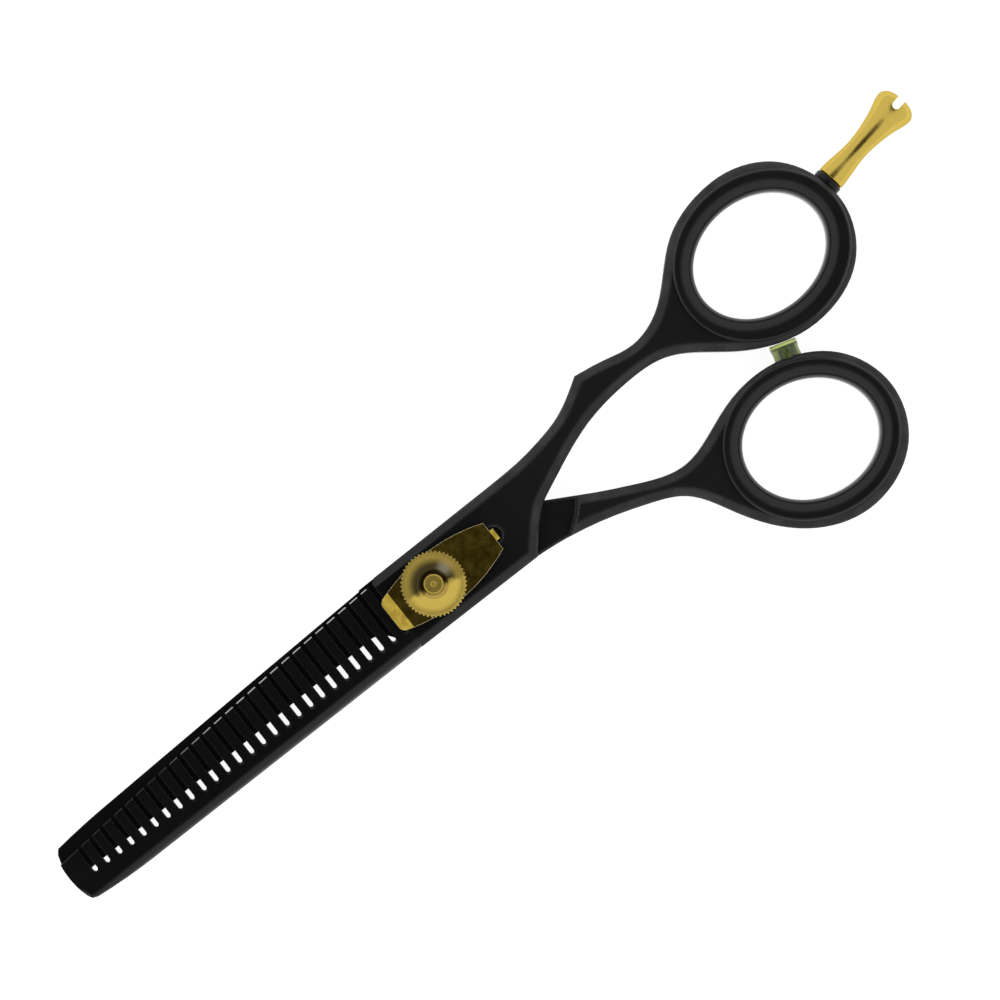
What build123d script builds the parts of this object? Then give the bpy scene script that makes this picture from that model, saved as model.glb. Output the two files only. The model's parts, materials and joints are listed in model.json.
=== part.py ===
"""Thinning shears: two crossed halves on a tension screw, with ring inserts,
a bumper and a screw-in finger rest.

Plan coordinates below are in millimetres from the pivot axis: X runs from the
blade tip to the handles, Y towards the finger ring, Z up from the table.
"""
from build123d import *
import os
from math import cos, pi, radians, sin

os.makedirs("parts", exist_ok=True)

# ---------------------------------------------------------------- dimensions
# The pivot axis stands here, so that the origin is the middle of the overall
# plan and the table top is Z = 0.
pivot_x = -14.852
pivot_y = 5.25

# Heights.
contact_z = 3.40             # plane in which the two halves slide on each other
blade_gap = 0.05             # running gap on each side of that plane
block_thickness = 2.60       # each half beside the pivot
tip_thickness = 1.45         # each blade at its nose

# Plan of the blades.
tip_x = -69.45
block_front_x = -7.12
tooth_count = 28
slot_count = tooth_count - 1
slot_pitch = 2.229
slot_width = 0.78
first_slot_x = -65.54
slot_root_tip_y = -2.20      # slot bottoms at the nose end
slot_root_block_y = -3.02    # slot bottoms over most of the blade
slot_open_y = 9.00           # the slot cutter runs out past the tooth ends
tooth_end_thickness = 0.62   # as a share of the blade's thickness there
cutting_edge_thickness = 0.12
web_thickness = 1.20         # where the plain blade's edge curves into its block
spine_bevel = 1.45           # width of the rounding along each spine
spine_wall = 0.65            # depth of that rounding, as a share of the thickness
spine_round_in = 0.30        # a point on the rounding: share of its width
spine_round_down = 0.22      # and share of the blade's thickness

# Bevels along the outer faces of block, shanks and rings.
bevel_width = 1.25
bevel_depth = 0.60

# Pivot.
screw_head_radius = 4.60
screw_head_height = 1.50
screw_head_chamfer = 0.40
screw_slot_width = 1.20
screw_slot_depth = 0.70
key_radius = 2.95
key_flat = 2.30              # half the distance across the key's two flats
bearing_radius = 2.50
stud_radius = 1.55
stud_below_rim = 0.35
stud_chamfer = 0.20
centre_mark_radius = 0.35
pivot_clearance = 0.04
washer_radius = 5.20
washer_thickness = 0.50
washer_proud = 0.08          # height of the washer above its recess

# Leaf spring and tension nut.
spring_thickness = 0.42
spring_rise = 0.50
spring_front_x = -8.05
spring_bend_x = -6.20        # the front end is bent down from here
spring_rear_x = 11.27
spring_rear_bend_x = 5.20    # and the rear slopes gently down from here
spring_rear_rise = 0.12
spring_corner_radius = 1.10
spring_half_width = 4.30
spring_hole_radius = 1.90
spring_tab_width = 1.80
spring_tab_depth = 1.30
spring_tab_reach = 0.62      # run of the bend from the rear edge to the tab's outer face
tab_hole = (11.42, 0.10)
tab_hole_radius = 1.20
tab_hole_depth = 1.60
nut_radius = 4.90
nut_height = 2.45
nut_rim_radius = 4.50        # inner edge of the flat rim
nut_floor_radius = 1.68      # foot of the dish round the stud
nut_dish_depth = 1.15
nut_dish_bow = (3.10, 0.40)  # a point on the dish: radius, and depth below the rim
nut_chamfer = 0.30           # at the foot of the nut
nut_edge_break = 0.08        # at its top
knurl_count = 48
knurl_depth = 0.34
knurl_groove_share = 0.90    # groove width as a share of the knurl's pitch

# Finger ring, thumb ring and their inserts: (centre x, centre y), half axes, tilt.
finger_centre = (68.05, 7.99)
finger_hole = (10.62, 8.56)
finger_tilt = 0.0
finger_flange_centre = (68.20, 7.78)
finger_flange = (13.90, 12.10)
thumb_centre = (57.09, -17.97)
thumb_hole = (10.41, 8.80)
thumb_tilt = -16.0
thumb_flange_centre = (57.04, -18.02)
thumb_flange = (13.45, 11.90)
insert_wall = 1.60
insert_fit = 0.02
flange_thickness = 0.75
insert_round = 2.20          # of the hole's rims
flange_round = 0.40

# Finger rest: it stands out of the finger ring on a slightly tilted axis.
rest_seat = (83.30, 10.38)
rest_tilt = 9.6
rest_length = 15.95
rest_base_radius = 2.14
rest_waist_radius = 1.66
rest_waist_at = 5.60
rest_end_radius = 3.14
rest_end_at = 14.20
rest_slot_width = 1.26
rest_slot_depth = 2.10
rest_stud_radius = 1.25
rest_stud_length = 2.90
rest_stud_chamfer = 0.25
rest_base_chamfer = 0.20
thread_clearance = 0.03
collar_radius = 2.20
collar_thickness = 1.10
collar_bore = 1.40
collar_round = 0.30
seat_margin = 0.25           # the flat seat is wider than the collar by this

# Bumper, let a little way into the thumb ring.
bumper_foot = (61.89, -6.69)
bumper_tilt = 17.0           # from +Y towards +X
bumper_height = 2.63
bumper_radius = 2.14
bumper_waist = 2.04
bumper_lip_radius = 2.16
bumper_lip = 0.75
bumper_lip_step = 0.08       # run of the step from the body out to the lip
bumper_edge = 0.18           # edge break round the lip
bumper_fit = 0.02
bumper_stem_radius = 0.90
bumper_stem_length = 1.60

# ---------------------------------------------------------------- derived
block_top = contact_z + blade_gap + block_thickness
block_bottom = contact_z - blade_gap - block_thickness
insert_top = block_top + flange_thickness
insert_bottom = block_bottom - flange_thickness
spring_bottom = block_top + spring_rise
nut_bottom = spring_bottom + spring_thickness
nut_top = nut_bottom + nut_height


def level(height):
    """Horizontal plane at a height, with its origin on the pivot axis."""
    return Plane(origin=(pivot_x, pivot_y, height))


def station(x):
    """Cross-section plane at a distance along the blade: local x is Y, local y is Z."""
    return Plane(origin=(pivot_x + x, pivot_y, 0), x_dir=(0, 1, 0), z_dir=(1, 0, 0))


def turned_plane(foot, angle):
    """Horizontal plane in mid thickness at a foot point, its local x at an angle from +X."""
    return Plane(
        origin=(pivot_x + foot[0], pivot_y + foot[1], contact_z),
        x_dir=(cos(radians(angle)), sin(radians(angle)), 0),
        z_dir=(0, 0, 1),
    )


def across(plane, distance):
    """Plane square to another plane's local x, at a distance along it."""
    return Plane(origin=plane.origin + plane.x_dir * distance, x_dir=plane.y_dir, z_dir=plane.x_dir)


side = Plane(origin=(pivot_x, pivot_y, 0), x_dir=(1, 0, 0), z_dir=(0, -1, 0))
rest_plane = turned_plane(rest_seat, rest_tilt)
bumper_plane = turned_plane(bumper_foot, 90 - bumper_tilt)


def toothed_section(x, spine_y, tooth_y, root_y, thickness):
    """One cross-section of the toothed blade: rounded spine, teeth ground thinner."""
    base = contact_z + blade_gap
    top = base + thickness
    shoulder = top - spine_wall * thickness
    bevel_y = spine_y + spine_bevel
    tooth_top = base + tooth_end_thickness * thickness
    with BuildSketch(station(x)) as section:
        with BuildLine():
            Line((spine_y, shoulder), (spine_y, base))
            Line((spine_y, base), (tooth_y, base))
            Line((tooth_y, base), (tooth_y, tooth_top))
            Line((tooth_y, tooth_top), (root_y, top))
            Line((root_y, top), (bevel_y, top))
            ThreePointArc(
                (bevel_y, top),
                (spine_y + spine_round_in * spine_bevel, top - spine_round_down * thickness),
                (spine_y, shoulder),
            )
        make_face()
    return section.sketch


def plain_section(x, spine_y, edge_y, ridge_y, thickness):
    """One cross-section of the plain blade: ground down to a thin cutting edge."""
    top = contact_z - blade_gap
    bottom = top - thickness
    shoulder = bottom + spine_wall * thickness
    bevel_y = spine_y - spine_bevel
    edge_bottom = top - cutting_edge_thickness * thickness
    with BuildSketch(station(x)) as section:
        with BuildLine():
            Line((spine_y, shoulder), (spine_y, top))
            Line((spine_y, top), (edge_y, top))
            Line((edge_y, top), (edge_y, edge_bottom))
            Line((edge_y, edge_bottom), (ridge_y, bottom))
            Line((ridge_y, bottom), (bevel_y, bottom))
            ThreePointArc(
                (bevel_y, bottom),
                (spine_y - spine_round_in * spine_bevel, bottom + spine_round_down * thickness),
                (spine_y, shoulder),
            )
        make_face()
    return section.sketch


def smooth(points, leaving, arriving):
    """Even curve through points, with its directions at the first and the last."""
    Spline(*points, tangents=[leaving, arriving], tangent_scalars=[1, 1])


def finger_side_outline():
    """Plan of the front half behind the blade: pivot block, shank and finger ring."""
    Polyline((block_front_x, -6.22), (block_front_x, 5.60), (-6.53, 6.20), (14.84, 6.20))
    smooth(
        [(14.84, 6.20), (22.00, 6.44), (25.25, 6.90), (29.74, 8.01), (35.40, 11.09)],
        (1, 0), (1, 0.62),
    )
    smooth(
        [(35.40, 11.09), (40.04, 10.28), (44.62, 9.38), (50.52, 10.96), (59.39, 18.42), (69.13, 20.97)],
        (1, -0.15), (1, 0),
    )
    smooth(
        [(69.13, 20.97), (78.55, 17.33), (82.60, 7.42)],
        (1, 0), (0, -1),
    )
    smooth(
        [(82.60, 7.42), (78.61, -1.44), (68.24, -5.05)],
        (0, -1), (-1, 0),
    )
    smooth(
        [(68.24, -5.05), (56.43, -0.93), (47.45, 4.95), (41.51, 5.54), (32.66, 4.40), (22.30, 0.33)],
        (-1, 0), (-1, -0.44),
    )
    smooth(
        [(22.30, 0.33), (20.15, -0.72), (17.28, -3.23), (14.50, -6.44)],
        (-1, -0.44), (-0.65, -0.80),
    )
    Line((14.50, -6.44), (block_front_x, -6.22))


def thumb_side_outline():
    """Plan of the back half behind the blade: pivot block, shank and thumb ring."""
    Polyline((20.60, -0.60), (14.70, 6.16), (-9.50, 6.16), (-9.50, -6.20), (8.00, -6.20))
    smooth(
        [(8.00, -6.20), (14.86, -6.44), (23.76, -7.83), (32.64, -10.68), (37.28, -13.09), (41.68, -19.78),
         (47.54, -27.37), (51.97, -30.18), (57.89, -31.47)],
        (1, 0), (1, 0),
    )
    smooth(
        [(57.89, -31.47), (68.24, -27.13), (71.42, -18.86)],
        (1, 0), (0, 1),
    )
    smooth(
        [(71.42, -18.86), (68.21, -10.47), (56.39, -5.47)],
        (0, 1), (-1, 0),
    )
    Spline(
        (56.39, -5.47), (47.48, -7.36), (40.04, -9.42), (32.57, -7.06), (27.32, -4.41), (20.60, -0.60),
        tangents=[(-1, 0), (-0.86, 0.47)],
    )


def widened(half_axes, margin):
    """Half axes of an ellipse made wider all round."""
    return half_axes[0] + margin, half_axes[1] + margin


def step_cut():
    """Plan of the flat contact area: everything ahead of the step in the back half."""
    ThreePointArc((25.60, -1.60), (22.55, -5.49), (19.00, -7.60))
    Polyline((19.00, -7.60), (-90.0, -7.60), (-90.0, 7.60), (25.60, 7.60), (25.60, -1.60))


# ---------------------------------------------------------------- toothed half
blade_root_x = block_front_x + 1.0

with BuildPart() as toothed_blade:
    loft(sections=[
        toothed_section(blade_root_x, -6.21, 6.60, -2.80, block_thickness),
        toothed_section(tip_x - 0.5, -5.90, 3.20, -2.10, tip_thickness),
    ])
    # Plan: spine that curves in to a clipped nose, and tooth ends on one shallow arc.
    with BuildSketch(level(contact_z)):
        with BuildLine():
            Line((blade_root_x, -6.40), (-57.00, -5.97))
            ThreePointArc((-57.00, -5.97), (-62.60, -5.78), (-67.70, -5.32))
            Polyline((-67.70, -5.32), (-68.50, -5.00), (-68.88, -4.29))
            ThreePointArc((-68.88, -4.29), (tip_x, -1.10), (-69.28, 1.78))
            ThreePointArc((-69.28, 1.78), (-38.57, 4.09), (-7.70, 5.67))
            Line((-7.70, 5.67), (blade_root_x, 5.70))
            Line((blade_root_x, 5.70), (blade_root_x, -6.40))
        make_face()
    extrude(amount=block_thickness + 1.0, mode=Mode.INTERSECT)
    # Slots between the teeth, each with a round bottom.
    with BuildSketch(level(contact_z)):
        for index in range(slot_count):
            x = first_slot_x + index * slot_pitch
            along = index / (slot_count - 1)
            root_y = slot_root_block_y + (1 - along) ** 4 * (slot_root_tip_y - slot_root_block_y)
            bottom_y = root_y + slot_width / 2
            slot_run = slot_open_y - bottom_y
            with Locations((x, bottom_y + slot_run / 2)):
                SlotCenterToCenter(slot_run, slot_width, rotation=90)
    extrude(amount=block_thickness + 1.0, mode=Mode.SUBTRACT)

with BuildPart() as toothed_half:
    with BuildSketch(level(contact_z + blade_gap)):
        with BuildLine():
            finger_side_outline()
        make_face()
    extrude(amount=block_thickness)
    outer_face = toothed_half.faces().sort_by(Axis.Z)[-1]
    long_edges = outer_face.edges().sort_by(Axis.X)[2:]
    chamfer(long_edges, length=bevel_width, length2=bevel_depth, reference=outer_face)
    # Behind the step the handle takes up the full thickness.
    with BuildSketch(level(block_bottom)) as lower_plan:
        with BuildLine():
            finger_side_outline()
        make_face()
        with BuildLine() as step_line:
            step_cut()
        mirror(make_face(step_line.line, mode=Mode.PRIVATE), about=Plane.XZ, mode=Mode.SUBTRACT)
    extrude(amount=contact_z + blade_gap - block_bottom)
    lower_face = toothed_half.faces().sort_by(Axis.Z)[0]
    lower_edges = lower_face.edges().sort_by(SortBy.LENGTH)[-2:]
    chamfer(lower_edges, length=bevel_width, length2=bevel_depth, reference=lower_face)
    add(toothed_blade.part)
    # Bore for the pivot screw.
    with BuildSketch(level(0)):
        Circle(bearing_radius + pivot_clearance)
    extrude(amount=block_top + 1, mode=Mode.SUBTRACT)
    # Blind hole for the leaf spring's tab.
    with BuildSketch(level(block_top)):
        with Locations(tab_hole):
            Circle(tab_hole_radius)
    extrude(amount=-tab_hole_depth, mode=Mode.SUBTRACT)
    # Opening that takes the finger ring insert.
    with BuildSketch(level(0)):
        with Locations(finger_centre):
            Ellipse(*widened(finger_hole, insert_wall), rotation=finger_tilt)
    extrude(amount=block_top + 1, mode=Mode.SUBTRACT)
    # Flat seat and threaded hole for the finger rest.
    with BuildSketch(across(rest_plane, -collar_thickness)):
        Circle(collar_radius + seat_margin)
    extrude(amount=3 * collar_thickness, mode=Mode.SUBTRACT)
    with BuildSketch(across(rest_plane, -rest_stud_length - 0.1)):
        Circle(rest_stud_radius + thread_clearance)
    extrude(amount=rest_stud_length, mode=Mode.SUBTRACT)
toothed_half.part.label = "toothed_half"
export_step(toothed_half.part, "parts/toothed_half.step")


# ---------------------------------------------------------------- plain half
with BuildPart() as plain_blade:
    loft(sections=[
        plain_section(-8.50, 6.12, -0.70, 1.90, block_thickness),
        plain_section(tip_x - 0.5, 4.20, -1.48, 0.60, tip_thickness),
    ])
    # Plan: bowed spine, clipped nose, and a straight cutting edge that curves into the block.
    with BuildSketch(level(0)):
        with BuildLine():
            ThreePointArc((-8.50, 6.00), (-34.00, 5.30), (-60.00, 4.50))
            ThreePointArc((-60.00, 4.50), (-64.30, 4.26), (-68.17, 3.90))
            Polyline((-68.17, 3.90), (-68.77, 3.18), (-69.22, 1.80))
            ThreePointArc((-69.22, 1.80), (-69.44, 0.30), (-69.05, -1.42))
            Line((-69.05, -1.42), (-14.10, -0.72))
            ThreePointArc((-14.10, -0.72), (-10.60, -1.45), (-9.50, -2.82))
            Polyline((-9.50, -2.82), (-8.50, -2.82), (-8.50, 6.00))
        make_face()
    extrude(amount=contact_z, mode=Mode.INTERSECT)

with BuildPart() as plain_half:
    with BuildSketch(level(contact_z - blade_gap)):
        with BuildLine():
            thumb_side_outline()
        make_face()
    extrude(amount=-block_thickness)
    under_face = plain_half.faces().sort_by(Axis.Z)[0]
    under_edges = under_face.edges().sort_by(SortBy.LENGTH)[-3:]
    chamfer(under_edges, length=bevel_width, length2=bevel_depth, reference=under_face)
    # Behind the step the handle takes up the full thickness.
    with BuildSketch(level(contact_z - blade_gap)):
        with BuildLine():
            thumb_side_outline()
        make_face()
        with BuildLine():
            step_cut()
        make_face(mode=Mode.SUBTRACT)
    extrude(amount=block_top - contact_z + blade_gap)
    upper_face = plain_half.faces().sort_by(Axis.Z)[-1]
    upper_edges = upper_face.edges().sort_by(SortBy.LENGTH)[-1:]
    chamfer(upper_edges, length=bevel_width, length2=bevel_depth, reference=upper_face)
    add(plain_blade.part)
    # Web that carries the cutting edge round into the block.
    with BuildSketch(level(contact_z - blade_gap)):
        with BuildLine():
            ThreePointArc((-14.10, -0.72), (-10.60, -1.45), (-9.50, -2.82))
            Polyline((-9.50, -2.82), (-9.40, 0.50), (-14.10, 0.50), (-14.10, -0.72))
        make_face()
    extrude(amount=-web_thickness)
    # Counterbore, keyed hole and washer recess for the pivot screw.
    with BuildSketch(level(0)):
        Circle(screw_head_radius + pivot_clearance)
    extrude(amount=screw_head_height, mode=Mode.SUBTRACT)
    with BuildSketch(level(0)):
        Circle(key_radius)
        Rectangle(2 * key_radius, 2 * key_flat, mode=Mode.INTERSECT)
    extrude(amount=contact_z, mode=Mode.SUBTRACT)
    with BuildSketch(level(contact_z - blade_gap)):
        Circle(washer_radius + pivot_clearance)
    extrude(amount=-(washer_thickness - washer_proud), mode=Mode.SUBTRACT)
    # Opening that takes the thumb ring insert.
    with BuildSketch(level(0)):
        with Locations(thumb_centre):
            Ellipse(*widened(thumb_hole, insert_wall), rotation=thumb_tilt)
    extrude(amount=block_top + 1, mode=Mode.SUBTRACT)
    # Flat seat and blind hole for the bumper.
    with BuildSketch(across(bumper_plane, 0)):
        Circle(bumper_radius + bumper_fit)
    extrude(amount=bumper_height, mode=Mode.SUBTRACT)
    with BuildSketch(across(bumper_plane, 0)):
        Circle(bumper_stem_radius)
    extrude(amount=-bumper_stem_length, mode=Mode.SUBTRACT)
plain_half.part.label = "plain_half"
export_step(plain_half.part, "parts/plain_half.step")


# ---------------------------------------------------------------- pivot
washer_bottom = contact_z - blade_gap - washer_thickness + washer_proud

with BuildPart() as pivot_screw:
    with BuildSketch(level(0)):
        Circle(screw_head_radius)
    extrude(amount=screw_head_height)
    chamfer(pivot_screw.edges().group_by(Axis.Z)[0], length=screw_head_chamfer)
    with BuildSketch(level(screw_head_height)):
        Circle(key_radius - pivot_clearance)
        Rectangle(2 * key_radius, 2 * (key_flat - pivot_clearance), mode=Mode.INTERSECT)
    extrude(amount=washer_bottom - screw_head_height)
    with BuildSketch(level(washer_bottom)):
        Circle(bearing_radius)
    extrude(amount=block_top - washer_bottom)
    with BuildSketch(level(block_top)):
        Circle(stud_radius)
    extrude(amount=nut_top - stud_below_rim - block_top)
    # Turned end of the stud: a small edge break and a centre mark.
    chamfer(pivot_screw.edges().group_by(Axis.Z)[-1], length=stud_chamfer)
    with BuildSketch(level(nut_top - stud_below_rim)):
        Circle(centre_mark_radius)
    extrude(amount=-centre_mark_radius, taper=35, mode=Mode.SUBTRACT)
    # Coin slot in the head.
    with BuildSketch(level(0)):
        Rectangle(2 * screw_head_radius + 1, screw_slot_width)
    extrude(amount=screw_slot_depth, mode=Mode.SUBTRACT)
pivot_screw.part.label = "pivot_screw"
export_step(pivot_screw.part, "parts/pivot_screw.step")

with BuildPart() as pivot_washer:
    with BuildSketch(level(washer_bottom)):
        Circle(washer_radius)
        Circle(bearing_radius + pivot_clearance, mode=Mode.SUBTRACT)
    extrude(amount=washer_thickness)
pivot_washer.part.label = "pivot_washer"
export_step(pivot_washer.part, "parts/pivot_washer.step")

with BuildPart() as tension_spring:
    # Side view of the strip: bent front end, raised middle, tab turned down at the rear.
    spring_top = spring_bottom + spring_thickness
    tab_rear_x = spring_rear_x + spring_tab_reach
    tab_front_x = tab_rear_x - spring_thickness
    rear_underside = block_top + spring_rear_rise
    with BuildSketch(side):
        with BuildLine():
            Polyline(
                (spring_front_x, block_top),
                (spring_bend_x, spring_bottom),
                (spring_rear_bend_x, spring_bottom),
                (spring_rear_x, rear_underside),
                (tab_front_x, rear_underside - spring_rear_rise),
                (tab_front_x, block_top - spring_tab_depth),
                (tab_rear_x, block_top - spring_tab_depth),
                (tab_rear_x, rear_underside + spring_rear_rise),
                (spring_rear_x, rear_underside + spring_thickness),
                (spring_rear_bend_x, spring_top),
                (spring_bend_x, spring_top),
                (spring_front_x, block_top + spring_thickness),
                (spring_front_x, block_top),
            )
        make_face()
    extrude(amount=10, both=True)
    # Plan: two bowed long edges, rounded ends, a narrow tab and the screw's hole.
    with BuildSketch(level(0)) as spring_plan:
        with BuildLine():
            ThreePointArc((spring_front_x, 2.65), (1.20, spring_half_width), (spring_rear_x, 2.50))
            Line((spring_rear_x, 2.50), (spring_rear_x, -2.30))
            ThreePointArc((spring_rear_x, -2.30), (1.20, -spring_half_width), (spring_front_x, -2.60))
            Line((spring_front_x, -2.60), (spring_front_x, 2.65))
        make_face()
        fillet(spring_plan.vertices().group_by(Axis.X)[0], radius=spring_corner_radius)
        with Locations((spring_rear_x, tab_hole[1])):
            Rectangle(3 * spring_tab_reach, spring_tab_width)
        Circle(spring_hole_radius, mode=Mode.SUBTRACT)
    extrude(amount=20, mode=Mode.INTERSECT)
tension_spring.part.label = "tension_spring"
export_step(tension_spring.part, "parts/tension_spring.step")

with BuildPart() as tension_nut:
    # Half section turned about the pivot axis.
    with BuildSketch(side):
        with BuildLine():
            Polyline(
                (nut_floor_radius, nut_top - nut_dish_depth),
                (stud_radius + pivot_clearance, nut_top - nut_dish_depth),
                (stud_radius + pivot_clearance, nut_bottom),
                (nut_radius - nut_chamfer, nut_bottom),
                (nut_radius, nut_bottom + nut_chamfer),
                (nut_radius, nut_top - nut_edge_break),
                (nut_radius - nut_edge_break, nut_top),
                (nut_rim_radius, nut_top),
            )
            ThreePointArc(
                (nut_rim_radius, nut_top),
                (nut_dish_bow[0], nut_top - nut_dish_bow[1]),
                (nut_floor_radius, nut_top - nut_dish_depth),
            )
        make_face()
    revolve(axis=Axis((pivot_x, pivot_y, 0), (0, 0, 1)))
    # Straight knurl round the rim.
    groove_half = knurl_groove_share * pi * nut_radius / knurl_count
    with BuildSketch(level(nut_bottom)):
        with PolarLocations(nut_radius + 0.02, knurl_count):
            Polygon((0, groove_half), (-knurl_depth, 0), (0, -groove_half), align=None)
    extrude(amount=nut_height, mode=Mode.SUBTRACT)
tension_nut.part.label = "tension_nut"
export_step(tension_nut.part, "parts/tension_nut.step")


# ---------------------------------------------------------------- ring inserts
def ring_insert(name, centre, hole, tilt, flange_centre, flange):
    """Spool-shaped insert: a wall through the ring with a flange on each face."""
    with BuildPart() as insert:
        for height in (insert_bottom, block_top):
            with BuildSketch(level(height)):
                with Locations(flange_centre):
                    Ellipse(*flange, rotation=tilt)
            extrude(amount=flange_thickness)
        with BuildSketch(level(block_bottom)):
            with Locations(centre):
                Ellipse(*widened(hole, insert_wall - insert_fit), rotation=tilt)
        extrude(amount=block_top - block_bottom)
        layers = insert.edges().group_by(Axis.Z)
        fillet(layers[0] + layers[-1], radius=flange_round)
        with BuildSketch(level(insert_bottom)):
            with Locations(centre):
                Ellipse(*hole, rotation=tilt)
        extrude(amount=insert_top - insert_bottom, mode=Mode.SUBTRACT)
        layers = insert.edges().group_by(Axis.Z)
        hole_rims = [layers[0].sort_by(SortBy.LENGTH)[0], layers[-1].sort_by(SortBy.LENGTH)[0]]
        fillet(hole_rims, radius=insert_round)
    insert.part.label = name
    return insert.part


finger_ring_insert = ring_insert(
    "finger_ring_insert", finger_centre, finger_hole, finger_tilt, finger_flange_centre, finger_flange,
)
export_step(finger_ring_insert, "parts/finger_ring_insert.step")
thumb_ring_insert = ring_insert(
    "thumb_ring_insert", thumb_centre, thumb_hole, thumb_tilt, thumb_flange_centre, thumb_flange,
)
export_step(thumb_ring_insert, "parts/thumb_ring_insert.step")


# ---------------------------------------------------------------- finger rest
with BuildPart() as finger_rest:
    # Half section turned about the rest's own axis: stud, base, waist, flared round end.
    with BuildSketch(rest_plane):
        with BuildLine():
            Polyline(
                (0, 0),
                (-rest_stud_length, 0),
                (-rest_stud_length, rest_stud_radius - rest_stud_chamfer),
                (-rest_stud_length + rest_stud_chamfer, rest_stud_radius),
                (0, rest_stud_radius),
                (0, rest_base_radius - rest_base_chamfer),
                (rest_base_chamfer, rest_base_radius),
            )
            smooth(
                [(rest_base_chamfer, rest_base_radius), (2.60, 1.95), (rest_waist_at, rest_waist_radius),
                 (9.20, 1.96), (11.80, 2.52), (rest_end_at, rest_end_radius)],
                (1, -0.02), (1, 0.05),
            )
            smooth(
                [(rest_end_at, rest_end_radius), (15.35, 2.55), (rest_length, 0)],
                (1, 0.05), (0, -1),
            )
            Line((rest_length, 0), (0, 0))
        make_face()
    revolve(axis=Axis(rest_plane.origin, rest_plane.x_dir))
    # Coin slot across the end, with a round bottom.
    slot_bottom = rest_length - rest_slot_depth + rest_slot_width / 2
    with BuildSketch(rest_plane.offset(-rest_end_radius - 1)):
        with Locations((slot_bottom + 2.5, 0)):
            SlotCenterToCenter(5.0, rest_slot_width)
    extrude(amount=2 * rest_end_radius + 2, mode=Mode.SUBTRACT)
finger_rest.part.label = "finger_rest"
export_step(finger_rest.part, "parts/finger_rest.step")

with BuildPart() as finger_rest_washer:
    with BuildSketch(across(rest_plane, -collar_thickness)):
        Circle(collar_radius)
        Circle(collar_bore, mode=Mode.SUBTRACT)
    extrude(amount=collar_thickness)
    fillet(finger_rest_washer.edges().sort_by(SortBy.LENGTH)[-2:], radius=collar_round)
finger_rest_washer.part.label = "finger_rest_washer"
export_step(finger_rest_washer.part, "parts/finger_rest_washer.step")


# ---------------------------------------------------------------- bumper
stem_end = bumper_stem_length - 0.1
lip_start = bumper_height - bumper_lip

with BuildPart() as bumper:
    # Half section turned about the bumper's axis: stem, foot, waisted body, flat lip.
    with BuildSketch(bumper_plane):
        with BuildLine():
            Polyline(
                (0, 0),
                (-stem_end, 0),
                (-stem_end, bumper_stem_radius - bumper_fit),
                (0, bumper_stem_radius - bumper_fit),
                (0, bumper_radius),
            )
            ThreePointArc((0, bumper_radius), (lip_start / 2, bumper_waist), (lip_start, bumper_radius))
            Polyline(
                (lip_start, bumper_radius),
                (lip_start + bumper_lip_step, bumper_lip_radius),
                (bumper_height - bumper_edge, bumper_lip_radius),
                (bumper_height, bumper_lip_radius - bumper_edge),
                (bumper_height, 0),
                (0, 0),
            )
        make_face()
    revolve(axis=Axis(bumper_plane.origin, bumper_plane.x_dir))
bumper.part.label = "bumper"
export_step(bumper.part, "parts/bumper.step")
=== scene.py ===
"""Thinning shears lying closed on a white table, under a light tent."""
import json
import math

import bpy
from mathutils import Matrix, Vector


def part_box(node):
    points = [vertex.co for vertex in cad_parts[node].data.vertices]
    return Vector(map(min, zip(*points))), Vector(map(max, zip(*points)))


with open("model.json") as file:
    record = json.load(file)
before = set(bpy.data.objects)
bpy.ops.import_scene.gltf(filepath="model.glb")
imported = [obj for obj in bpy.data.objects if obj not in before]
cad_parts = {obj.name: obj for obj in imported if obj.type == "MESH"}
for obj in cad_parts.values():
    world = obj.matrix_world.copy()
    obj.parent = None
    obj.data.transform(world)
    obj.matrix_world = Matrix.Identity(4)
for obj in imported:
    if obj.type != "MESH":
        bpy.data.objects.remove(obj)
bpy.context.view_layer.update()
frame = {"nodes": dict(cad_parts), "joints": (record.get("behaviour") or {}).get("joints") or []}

MM = 0.001
joint_at = {joint["name"]: Vector(joint["pos_m"]) for joint in frame["joints"] if "pos_m" in joint}
joint_axis = {joint["name"]: Vector(joint["axis"]).normalized() for joint in frame["joints"]}
pivot = joint_at["blade_pivot"]
rest_seat = joint_at["finger_rest_turn"]
rest_axis = joint_axis["finger_rest_turn"]

# Places along X and Y from the pivot axis.
block_front = -8 * MM            # where the toothed blade meets the pivot block
last_tooth_end = -8.4 * MM
spine_top = -3 * MM              # the spines and their bevels lie below this
tooth_arc_at = (-38.57 * MM, 4.09 * MM)
tooth_arc_slope = 0.0632
tooth_arc_bend = -0.39           # in 1/m: the tooth ends lie on one shallow arc
dish_shade_towards = (0.25, 0.97)     # the side of the nut's dish that carries painted shade
# Middle of a greyish painted reflection in the nut's dish.
painted_reflection_at = (2.7 * MM, 0.9 * MM)

# Radii from the pivot axis.
stud_radius = 1.54 * MM
dish_foot_radius = 1.9 * MM
rim_radius = 4.5 * MM

bumper_half_length = 2.06 * MM
bumper_towards = math.radians(17)   # from +Y towards +X, square to the ring that it stands on


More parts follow.
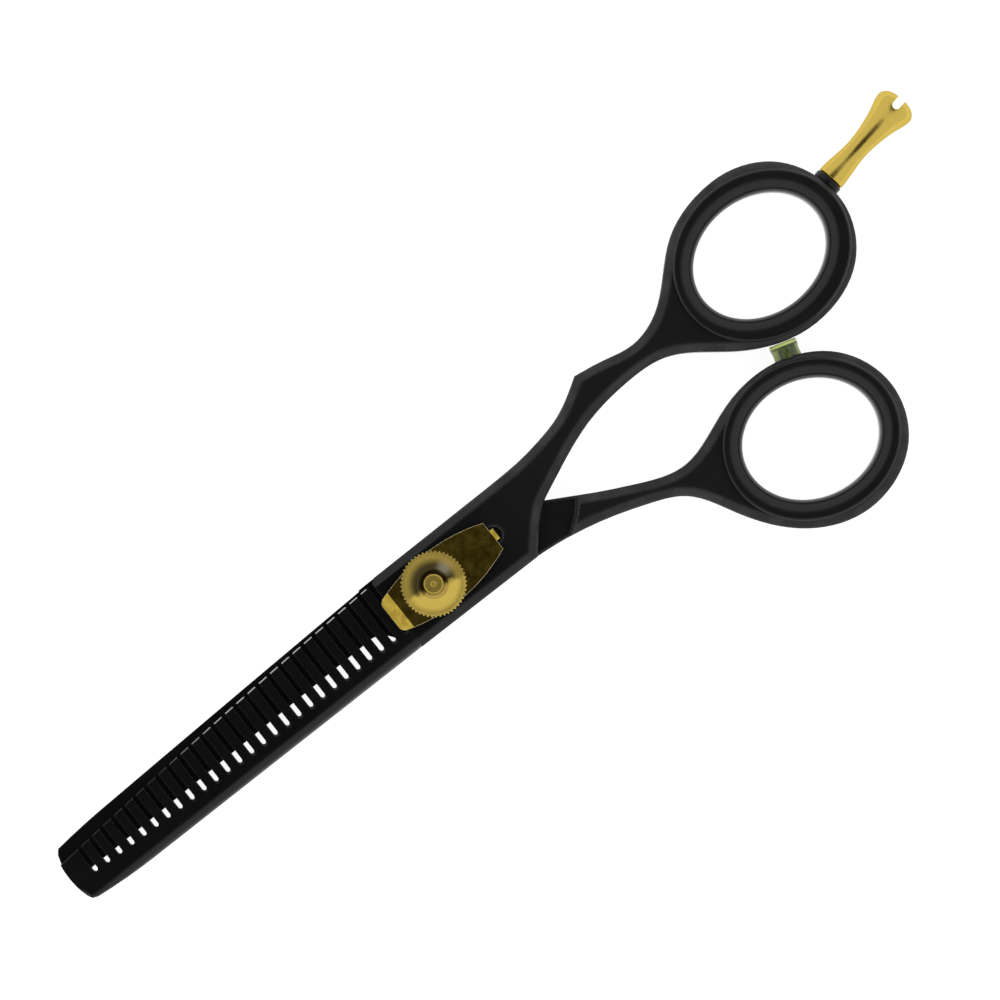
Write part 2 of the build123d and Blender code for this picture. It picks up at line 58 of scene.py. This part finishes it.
# ---------------------------------------------------------------- shader helpers
class Shader:
    """A material, or the world, whose nodes are built by short calls that give back sockets."""

    def __init__(self, name, owner=None):
        self.block = owner or bpy.data.materials.new(name)
        self.block.use_nodes = True
        self.tree = self.block.node_tree
        self.tree.nodes.clear()
        kind = "ShaderNodeOutputWorld" if owner else "ShaderNodeOutputMaterial"
        self.output = self.tree.nodes.new(kind)

    def node(self, kind, inputs=(), **settings):
        made = self.tree.nodes.new(kind)
        for key, value in settings.items():
            setattr(made, key, value)
        for key, value in dict(inputs).items():
            if isinstance(value, bpy.types.NodeSocket):
                self.tree.links.new(value, made.inputs[key])
            else:
                made.inputs[key].default_value = value
        return made

    def place(self):
        """Position in the piece's own frame, which is the row frame at rest."""
        return self.node("ShaderNodeTexCoord").outputs["Object"]

    def calc(self, operation, first, second=0.0, clamp=False):
        inputs = {0: first, 1: second}
        return self.node("ShaderNodeMath", inputs, operation=operation, use_clamp=clamp).outputs[0]

    def vector(self, operation, first, second=(0.0, 0.0, 0.0)):
        made = self.node("ShaderNodeVectorMath", {0: first, 1: second}, operation=operation)
        return made.outputs["Value" if operation in ("DOT_PRODUCT", "LENGTH") else "Vector"]

    def total(self, first, *others):
        for other in others:
            first = self.calc("ADD", first, other)
        return first

    def product(self, first, *others):
        for other in others:
            first = self.calc("MULTIPLY", first, other)
        return first

    def noise(self, place, size, detail=2.0, rough=0.5, stretch=(1, 1, 1)):
        """Noise from 0 to 1, with features about size metres big, times stretch along each axis."""
        scale = tuple(1.0 / (size * part) for part in stretch)
        moved = self.vector("MULTIPLY", place, scale)
        inputs = {"Vector": moved, "Scale": 1.0, "Detail": detail, "Roughness": rough}
        return self.node("ShaderNodeTexNoise", inputs).outputs["Fac"]

    def lines(self, along, size, detail=2.0):
        """Noise that changes only with one length, for turned or ground surfaces."""
        inputs = {"W": self.calc("DIVIDE", along, size), "Scale": 1.0, "Detail": detail}
        return self.node("ShaderNodeTexNoise", inputs, noise_dimensions="1D").outputs["Fac"]

    def ramp(self, value, low, high, start=0.0, end=1.0, smooth=True):
        """Takes low to start and high to end, and holds outside."""
        inputs = {"Value": value, "From Min": low, "From Max": high, "To Min": start, "To Max": end}
        kind = "SMOOTHSTEP" if smooth else "LINEAR"
        return self.node("ShaderNodeMapRange", inputs, interpolation_type=kind).outputs["Result"]

    def mix(self, share, first, second):
        """Mixes two colours, each a socket or red, green and blue."""
        made = self.node("ShaderNodeMix", data_type="RGBA", clamp_factor=True)
        sockets = (made.inputs[0], made.inputs[6], made.inputs[7])
        for socket, value in zip(sockets, (share, first, second)):
            if isinstance(value, bpy.types.NodeSocket):
                self.tree.links.new(value, socket)
            elif isinstance(value, tuple):
                socket.default_value = (*value, 1.0)
            else:
                socket.default_value = value
        return made.outputs[2]

    def split(self, place):
        """The three parts of a vector."""
        return self.node("ShaderNodeSeparateXYZ", {0: place}).outputs

    def own_normal(self):
        return self.node("ShaderNodeNewGeometry").outputs["Normal"]

    def rounded(self, radius):
        """Normal with every edge rounded off, and how much it differs from the surface's own."""
        soft = self.node("ShaderNodeBevel", {"Radius": radius}, samples=6).outputs["Normal"]
        own = self.own_normal()
        return soft, self.calc("SUBTRACT", 1.0, self.vector("DOT_PRODUCT", soft, own), clamp=True)

    def bump(self, height, distance, normal=None, strength=1.0):
        inputs = {"Height": height, "Distance": distance, "Strength": strength}
        if normal is not None:
            inputs["Normal"] = normal
        return self.node("ShaderNodeBump", inputs).outputs["Normal"]

    def surface(self, **inputs):
        names = {key.replace("_", " "): value for key, value in inputs.items()}
        for key, value in names.items():
            if isinstance(value, tuple) and len(value) == 3:
                names[key] = (*value, 1.0)
        made = self.node("ShaderNodeBsdfPrincipled", names)
        self.tree.links.new(made.outputs[0], self.output.inputs["Surface"])
        return self.block


def from_pivot(shader, place):
    """Offsets from the pivot axis in plan, and the distance to it."""
    moved = shader.vector("SUBTRACT", place, tuple(pivot))
    x, y = shader.split(moved)[0], shader.split(moved)[1]
    flat = shader.vector("MULTIPLY", moved, (1.0, 1.0, 0.0))
    return x, y, shader.vector("LENGTH", flat)


# ---------------------------------------------------------------- materials
def black_steel(teeth):
    """Satin black coat on ground steel. Its edges are rubbed lighter, its bevels carry a painted
    sheen, and tooth ends are bare, with a painted highlight along their tops.
    """
    s = Shader("black_steel_toothed" if teeth else "black_steel_plain")
    place = s.place()
    x, y, _ = from_pivot(s, place)
    handle = s.ramp(x, -9 * MM, 30 * MM)
    # Edges are broken generously on the handles and spines, and hardly at all at the teeth.
    behind_teeth = s.ramp(x, block_front, block_front + 20 * MM)
    on_spine = s.ramp(y, spine_top - 0.4 * MM, spine_top + 0.4 * MM, 1.0, 0.0)
    off_teeth = s.calc("MAXIMUM", behind_teeth, on_spine)
    soft, edge = s.rounded(s.ramp(off_teeth, 0.0, 1.0, 0.07 * MM, 0.80 * MM))
    cloud = s.noise(place, 9 * MM, detail=3)
    grain = s.noise(place, 0.16 * MM, detail=3, rough=0.65)
    brushed = s.noise(place, 0.12 * MM, detail=3, rough=0.6, stretch=(14, 1, 1))
    coat = s.mix(cloud, (0.0022, 0.0022, 0.0024), (0.0042, 0.0042, 0.0045))
    coat = s.mix(s.product(handle, 0.8), coat, (0.0085, 0.0085, 0.0088))
    coat = s.mix(s.ramp(grain, 0.45, 0.80, 0.0, 0.5), coat, (0.0090, 0.0090, 0.0095))
    # Bevels are painted a little paler, in patches: a painted sheen on the tilted faces.
    patches = s.noise(place, 3.5 * MM, detail=3)
    tilted = s.ramp(s.split(soft)[2], 0.90, 0.99, 1.0, 0.0)
    bevel_sheen = s.product(tilted, handle, s.ramp(patches, 0.40, 0.65))
    coat = s.mix(bevel_sheen, coat, (0.022, 0.022, 0.023))
    chips = s.noise(place, 0.5 * MM, detail=4, rough=0.7)
    worn = s.product(s.ramp(edge, 0.01, 0.16), s.ramp(chips, 0.35, 0.62))
    colour = s.mix(worn, coat, (0.055, 0.055, 0.058))
    upright = s.ramp(s.calc("ABSOLUTE", s.split(s.own_normal())[2]), 0.15, 0.35, 1.0, 0.0)
    bare = 0.0
    if teeth:
        # A strip along each tooth's end is ground bare on its upright end face; along its top it is a
        # painted highlight, pale and strongest near the pivot.
        from_middle = s.calc("SUBTRACT", x, tooth_arc_at[0])
        bow = s.product(from_middle, from_middle, tooth_arc_bend)
        end = s.total(s.product(from_middle, tooth_arc_slope), tooth_arc_at[1], bow)
        end_band = s.ramp(s.calc("SUBTRACT", end, y), 0.13 * MM, 0.19 * MM, 1.0, 0.0)
        ahead = s.ramp(x, last_tooth_end - 0.2 * MM, last_tooth_end + 0.2 * MM, 1.0, 0.0)
        highlight_fade = s.ramp(x, -50 * MM, -34 * MM, 0.04, 1.0)
        strip = s.product(end_band, ahead)
        # Painted highlight along the top of each tooth's end, weakest towards the tip.
        colour = s.mix(s.product(strip, highlight_fade), colour, (0.52, 0.52, 0.52))
        bare = s.product(strip, upright)
        colour = s.mix(bare, colour, (0.20, 0.20, 0.205))
    # The handles are tumbled to a satin; the blades are ground smoother.
    satin = s.ramp(handle, 0.0, 1.0, 0.16, 0.25)
    mottle = s.ramp(s.total(cloud, brushed), 0.5, 1.5, -0.04, 0.05, smooth=False)
    # The upright walls between the teeth aren't polished.
    dull = s.product(upright, s.ramp(x, block_front - 1 * MM, block_front + 1 * MM, 1.0, 0.0))
    roughness = s.total(satin, mottle, s.product(dull, 0.45))
    height = s.total(s.product(grain, 0.6), s.product(brushed, 0.4))
    waves = s.bump(s.noise(place, 5 * MM, detail=1), 0.16 * MM, soft, handle)
    return s.surface(
        Base_Color=colour,
        Metallic=bare,
        Roughness=roughness,
        Specular_IOR_Level=s.ramp(dull, 0.0, 1.0, 0.32, 0.06),
        Normal=s.bump(height, 0.003 * MM, waves, 0.6),
    )


def turned_gold(name, about_pivot):
    """Gold-coated steel with the fine rings that a lathe leaves."""
    s = Shader(name)
    place = s.place()
    soft, edge = s.rounded((0.26 if about_pivot else 0.12) * MM)
    if about_pivot:
        x, y, along = from_pivot(s, place)
        # Painted shade over one side of the dish, darkest towards the stud, with a greyish painted
        # reflection in it.
        sideways = s.total(s.product(x, dish_shade_towards[0]), s.product(y, dish_shade_towards[1]))
        shade_ragged_edge = s.product(s.noise(place, 0.9 * MM, detail=3), 1.2 * MM)
        shaded_side = s.ramp(s.total(sideways, shade_ragged_edge), -0.5 * MM, 0.5 * MM)
        thinning = s.ramp(along, 2.7 * MM, rim_radius, 1.0, 0.36)
        off_stud = s.ramp(along, stud_radius - 0.04 * MM, stud_radius + 0.04 * MM)
        dish_shade = s.product(shaded_side, thinning, off_stud)
        # A greyish patch painted into the shade: a painted reflection.
        reflection_middle = pivot + Vector((*painted_reflection_at, 0))
        from_reflection = s.vector("SUBTRACT", place, tuple(reflection_middle))
        from_reflection = s.vector("LENGTH", s.vector("MULTIPLY", from_reflection, (1.0, 1.0, 0.0)))
        dish_reflection = s.ramp(from_reflection, 0.3 * MM, 1.6 * MM, 0.75, 0.0)
        foot = s.ramp(along, dish_foot_radius, dish_foot_radius + 0.3 * MM, 0.8, 0.0)
        foot = s.product(off_stud, foot)
    else:
        from_seat = s.vector("SUBTRACT", place, tuple(rest_seat))
        along = s.vector("DOT_PRODUCT", from_seat, tuple(rest_axis))
        dish_shade = dish_reflection = foot = 0.0
    rings = s.lines(along, 0.10 * MM, detail=3)
    cloud = s.noise(place, 2.2 * MM, detail=4, rough=0.6)
    spots = s.noise(place, 0.25 * MM, detail=2)
    colour = s.mix(cloud, (0.55, 0.40, 0.070), (0.66, 0.49, 0.115))
    colour = s.mix(s.ramp(rings, 0.35, 0.7, 0.0, 0.35), colour, (0.48, 0.34, 0.055))
    colour = s.mix(s.ramp(spots, 0.66, 0.80, 0.0, 0.5), colour, (0.28, 0.21, 0.05))
    # Painted highlight: the edges are painted paler gold.
    colour = s.mix(s.ramp(edge, 0.02, 0.25, 0.0, 0.6), colour, (0.86, 0.74, 0.36))
    # Painted highlight: the foot of the dish is painted pale gold.
    colour = s.mix(foot, colour, (0.86, 0.77, 0.45))
    # Painted shade on one side of the dish, greyish where it holds a painted reflection.
    colour = s.mix(dish_shade, colour, s.mix(dish_reflection, (0.050, 0.039, 0.014), (0.24, 0.215, 0.15)))
    roughness = s.ramp(s.total(cloud, rings), 0.5, 1.5, 0.15, 0.27, smooth=False)
    if about_pivot:
        # The stud's end, the foot of the dish and the knurled rim are duller than the dish.
        rim = s.ramp(along, rim_radius - 0.25 * MM, rim_radius, 0.0, 0.35)
        stud = s.ramp(off_stud, 0.0, 1.0, 0.13, 0.0)
        roughness = s.total(roughness, s.product(foot, 0.2), stud, rim)
    return s.surface(
        Base_Color=colour,
        Metallic=1.0,
        Roughness=roughness,
        Specular_Tint=(0.82, 0.76, 0.56),
        Normal=s.bump(rings, 0.006 * MM, soft, 0.7),
    )


def spring_gold():
    """Rolled gold-coloured spring strip, ground along its length."""
    s = Shader("spring_gold")
    place = s.place()
    soft, edge = s.rounded(0.09 * MM)
    streaks = s.noise(place, 0.10 * MM, detail=3, rough=0.6, stretch=(30, 1, 1))
    stain = s.noise(place, 1.6 * MM, detail=4, rough=0.62)
    pits = s.noise(place, 0.20 * MM, detail=2)
    colour = s.mix(s.ramp(stain, 0.3, 0.7), (0.30, 0.20, 0.028), (0.60, 0.44, 0.068))
    colour = s.mix(s.ramp(pits, 0.58, 0.74, 0.0, 0.6), colour, (0.20, 0.15, 0.025))
    # Painted highlight: the edges are painted pale gold.
    colour = s.mix(s.ramp(edge, 0.01, 0.12, 0.0, 0.9), colour, (0.95, 0.88, 0.55))
    roughness = s.ramp(s.total(stain, streaks), 0.5, 1.5, 0.10, 0.20, smooth=False)
    height = s.total(s.product(streaks, 0.5), stain)
    return s.surface(
        Base_Color=colour,
        Metallic=1.0,
        Roughness=roughness,
        Normal=s.bump(height, 0.006 * MM, soft, 0.7),
    )


def smooth_rubber():
    """Moulded black insert: a faint skin texture, and edges painted a little lighter as a painted
    sheen where fingers rub.
    """
    s = Shader("insert_rubber")
    place = s.place()
    soft, edge = s.rounded(0.12 * MM)
    skin = s.noise(place, 0.12 * MM, detail=3, rough=0.6)
    cloud = s.noise(place, 6 * MM, detail=3)
    dust = s.noise(place, 0.35 * MM, detail=2)
    colour = s.mix(cloud, (0.0050, 0.0050, 0.0052), (0.0075, 0.0075, 0.0078))
    colour = s.mix(s.ramp(dust, 0.72, 0.82, 0.0, 0.5), colour, (0.030, 0.030, 0.031))
    # Painted sheen: the edges are painted a little lighter.
    colour = s.mix(s.ramp(edge, 0.02, 0.25, 0.0, 0.6), colour, (0.022, 0.022, 0.024))
    roughness = s.ramp(s.total(cloud, skin), 0.5, 1.5, 0.20, 0.30, smooth=False)
    return s.surface(
        Base_Color=colour,
        Roughness=roughness,
        Specular_IOR_Level=0.32,
        Normal=s.bump(skin, 0.004 * MM, soft, 0.5),
    )


def matt_plastic(name, dark, light):
    """Plain moulded plastic with a fine grain."""
    s = Shader(name)
    place = s.place()
    soft, edge = s.rounded(0.08 * MM)
    grain = s.noise(place, 0.10 * MM, detail=3, rough=0.6)
    colour = s.mix(s.noise(place, 1.5 * MM, detail=3), dark, light)
    rubbed = tuple(min(1.0, 3 * part) for part in light)
    colour = s.mix(s.ramp(edge, 0.02, 0.25, 0.0, 0.3), colour, rubbed)
    return s.surface(
        Base_Color=colour,
        Roughness=s.ramp(grain, 0.3, 0.7, 0.26, 0.38, smooth=False),
        Specular_IOR_Level=0.22,
        Normal=s.bump(grain, 0.005 * MM, soft, 0.5),
    )


def green_plastic():
    """Clear yellow-green bumper: a pale lip, a dark line of painted shade under it, and a darker body
    over its stem.
    """
    s = Shader("bumper_plastic")
    place = s.place()
    low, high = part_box("bumper")
    middle = (low + high) / 2
    out = Vector((math.sin(bumper_towards), math.cos(bumper_towards), 0))
    across = Vector((out.y, -out.x, 0))
    moved = s.vector("SUBTRACT", place, tuple(middle))
    along = s.vector("DOT_PRODUCT", moved, tuple(out))
    beside = s.calc("ABSOLUTE", s.vector("DOT_PRODUCT", moved, tuple(across)))
    swirl = s.noise(place, 0.5 * MM, detail=4, rough=0.6)
    from_end = s.calc("SUBTRACT", bumper_half_length, along)
    lip = s.ramp(from_end, 0.68 * MM, 0.80 * MM, 1.0, 0.0)
    lip_and_line = s.ramp(from_end, 0.95 * MM, 1.15 * MM, 1.0, 0.0)
    line = s.calc("SUBTRACT", lip_and_line, lip, clamp=True)
    sides = s.ramp(beside, 1.15 * MM, 1.65 * MM)
    body = s.mix(s.ramp(swirl, 0.35, 0.65), (0.030, 0.052, 0.008), (0.13, 0.18, 0.05))
    body = s.mix(s.product(sides, 0.8), body, (0.50, 0.60, 0.18))
    # Painted shade: a dark line in the groove under the lip.
    body = s.mix(s.product(line, 0.8), body, (0.060, 0.095, 0.012))
    colour = s.mix(lip, body, (0.68, 0.82, 0.24))
    return s.surface(
        Base_Color=colour,
        Roughness=s.ramp(swirl, 0.3, 0.7, 0.10, 0.22, smooth=False),
        IOR=1.47,
        Transmission_Weight=s.ramp(lip, 0.0, 1.0, 0.30, 0.10),
        Normal=s.bump(swirl, 0.01 * MM, None, 0.5),
    )


black_toothed = black_steel(teeth=True)
black_plain = black_steel(teeth=False)
gold_about_pivot = turned_gold("gold_turned_about_pivot", about_pivot=True)
gold_about_rest = turned_gold("gold_turned_about_rest", about_pivot=False)
rubber = smooth_rubber()
finishes = {
    "toothed_half": (black_toothed, "black_steel"),
    "plain_half": (black_plain, "black_steel"),
    "pivot_screw": (gold_about_pivot, "gold_steel"),
    "tension_nut": (gold_about_pivot, "gold_steel"),
    "finger_rest": (gold_about_rest, "gold_steel"),
    "tension_spring": (spring_gold(), "gold_spring"),
    "pivot_washer": (matt_plastic("nylon", (0.74, 0.74, 0.70), (0.86, 0.86, 0.82)), "nylon"),
    "finger_rest_washer": (
        matt_plastic("black_plastic", (0.004, 0.004, 0.004), (0.008, 0.008, 0.008)), "black_plastic",
    ),
    "bumper": (green_plastic(), "bumper"),
    "finger_ring_insert": (rubber, "insert_rubber"),
    "thumb_ring_insert": (rubber, "insert_rubber"),
}
for name, (material, slot) in finishes.items():
    piece = frame["nodes"][name]
    piece.data.materials.clear()
    piece.data.materials.append(material)


# ---------------------------------------------------------------- table and light
def table_top():
    """White table, lit from inside like a light table, so that it stays pale under the shears."""
    s = Shader("table_white")
    place = s.place()
    paper = s.noise(place, 0.8 * MM, detail=3)
    return s.surface(
        Base_Color=s.mix(paper, (0.30, 0.30, 0.30), (0.33, 0.33, 0.33)),
        Roughness=0.7,
        Emission_Color=(1.0, 1.0, 1.0),
        Emission_Strength=0.90,
        Normal=s.bump(paper, 0.01 * MM, None, 0.3),
    )


table_size = 6.0
table_gap = 0.02 * MM
bpy.ops.mesh.primitive_grid_add(
    x_subdivisions=8, y_subdivisions=8, size=table_size, location=(0, 0, -table_gap),
)
table = bpy.context.object
table.name = "table"
table.data.materials.append(table_top())

# Light tent: white all round, with the dark opening that the camera looks through overhead.
scene = bpy.context.scene
scene.world = bpy.data.worlds.new("tent")
tent = Shader("tent", scene.world)
direction = tent.vector("NORMALIZE", tent.node("ShaderNodeTexCoord").outputs["Generated"])
opening_towards = Vector((-0.02, 0.05, 1.0)).normalized()
towards_opening = tent.vector("DOT_PRODUCT", direction, tuple(opening_towards))
white_from = math.cos(math.radians(30))
dark_within = math.cos(math.radians(12))
brightness = tent.ramp(towards_opening, white_from, dark_within, 1.0, 0.055)
light = tent.node("ShaderNodeBackground", {"Color": (1, 1, 1, 1), "Strength": brightness})
tent.tree.links.new(light.outputs[0], tent.output.inputs["Surface"])

scene.view_settings.view_transform = "Standard"
scene.view_settings.look = "None"

# ---------------------------------------------------------------- camera
camera_data = bpy.data.cameras.new("camera")
camera = bpy.data.objects.new("camera", camera_data)
scene.collection.objects.link(camera)
view_width = 148.35 * MM         # what the picture spans, at the height where the halves meet
camera_height = 800 * MM         # above that height
camera_turn = math.radians(-38.5)
camera.location = (0.516 * MM, 8.85 * MM, pivot.z + camera_height)
camera.rotation_euler = (0, 0, camera_turn)
camera_data.sensor_width = 36.0
camera_data.lens = camera_data.sensor_width * camera_height / view_width
camera_data.clip_start = 0.01
camera_data.clip_end = 20.0
scene.camera = camera
